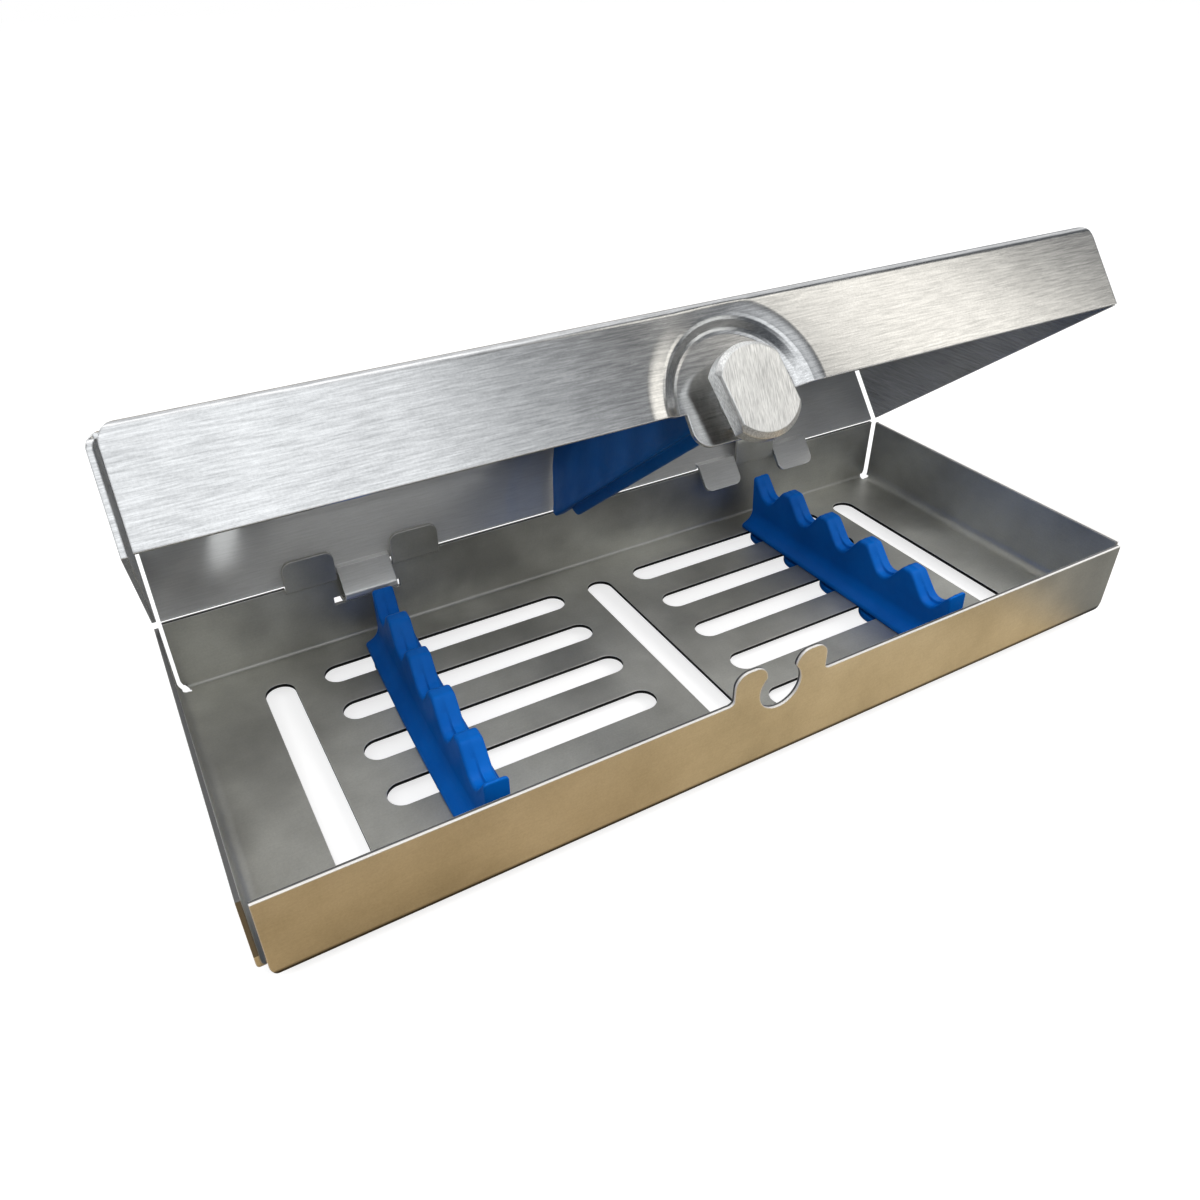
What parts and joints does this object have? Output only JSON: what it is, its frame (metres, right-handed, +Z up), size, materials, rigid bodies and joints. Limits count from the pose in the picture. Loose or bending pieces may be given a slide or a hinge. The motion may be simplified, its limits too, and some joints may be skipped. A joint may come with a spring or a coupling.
{
  "type": "dental_instrument_cassette",
  "caption": "Stainless dental instrument cassette, lid ajar: perforated bent-sheet halves, notched blue silicone rails, hold-down pad and quarter-turn knob latch",
  "frame": {"origin": "centre of the base tray's footprint, on the surface that the stud heads stand on", "axes": "+X along the cassette, +Y to the hinge side, +Z up"},
  "size_m": [0.18, 0.0824, 0.076],
  "materials": {
    "tray_steel": "satin electropolished sheet",
    "lid_steel": "satin sheet with lengthwise grain",
    "turned_steel": "turned and grained",
    "washer_steel": "plain stamped",
    "spring_steel": "plain spring stock",
    "rail_silicone": "satin moulded silicone",
    "pad_silicone": "satin moulded silicone"
  },
  "bodies": {
    "base": {"base_tray": "tray_steel"},
    "lid": {"lid_tray": "lid_steel", "hold_down_pad": "pad_silicone", "flat_washer": "washer_steel"},
    "knob": {"latch_knob": "turned_steel", "split_washer": "spring_steel", "retaining_clip": "spring_steel"},
    "left_rail": {"rail_left": "rail_silicone"},
    "right_rail": {"rail_right": "rail_silicone"}
  },
  "joints": [
    {"name": "lid_hinge", "type": "hinge", "parent": "base", "child": "lid", "pos_m": [0, 0.03645, 0.01805], "axis": [-1, 0, 0], "range_deg": [-39, 141]},
    {"name": "knob_turn", "type": "hinge", "parent": "lid", "child": "knob", "pos_m": [0, -0.02009, 0.06383], "axis": [0, -0.7771, 0.6293], "range_deg": [-8, 82]},
    {"name": "left_rail_slide", "type": "slide", "parent": "base", "child": "left_rail", "axis": [1, 0, 0], "range_m": [-0.0104, 0.0356]},
    {"name": "right_rail_slide", "type": "slide", "parent": "base", "child": "right_rail", "axis": [1, 0, 0], "range_m": [-0.0366, 0.0102]}
  ]
}
